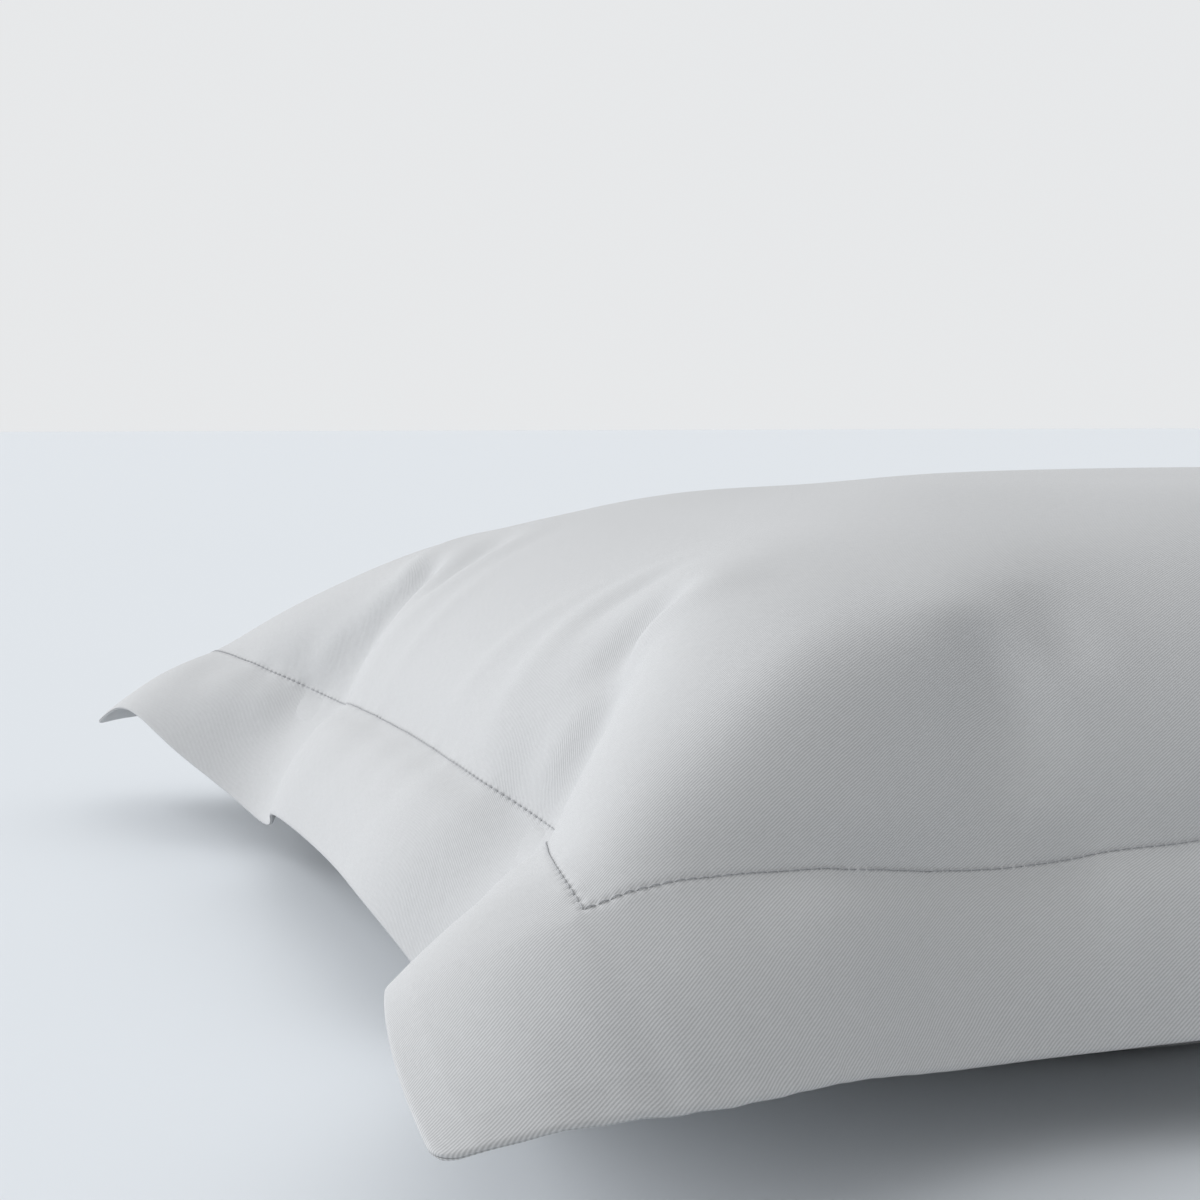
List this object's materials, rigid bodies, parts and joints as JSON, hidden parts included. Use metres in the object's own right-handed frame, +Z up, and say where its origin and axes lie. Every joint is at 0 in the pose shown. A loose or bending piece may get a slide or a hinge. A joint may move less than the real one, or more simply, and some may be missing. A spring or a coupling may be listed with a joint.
{
  "type": "bed pillow",
  "caption": "Plump bed pillow in a light grey twill pillowcase with a stitched flange all round; it lies on a flat surface.",
  "frame": {"origin": "on the surface that the pillow lies on, under the middle of it", "axes": "+X along the long side, towards the open end of the pillowcase; +Y along the short side; +Z up"},
  "size_m": [0.812, 0.564, 0.144],
  "materials": {
    "case_twill": "fine cotton twill with a soft sheen",
    "case_thread": "spun polyester sewing thread, matched to the cloth",
    "label_tape": "blank satin tape",
    "ticking": "plain downproof cotton",
    "insert_thread": "spun cotton thread",
    "fibre_fill": "loose hollow fibre"
  },
  "bodies": {
    "pillow": {"case_front": "case_twill", "case_back": "case_twill", "case_flap": "case_twill", "flange_needle_thread": "case_thread", "flange_bobbin_thread": "case_thread", "edge_seam_thread": "case_thread", "back_hem_thread": "case_thread", "flap_hem_thread": "case_thread", "ticking_top": "ticking", "ticking_bottom": "ticking", "piping_cord": "ticking", "ticking_seam_thread": "insert_thread", "closing_stitch": "insert_thread", "insert_label": "label_tape", "filling": "fibre_fill"},
    "label": {"care_label": "label_tape"}
  },
  "joints": [
    {"name": "label_swing", "type": "hinge", "parent": "pillow", "child": "label", "pos_m": [0.34958, 0.06, 0.05], "axis": [0, -1, 0], "range_deg": [-20, 35]}
  ]
}
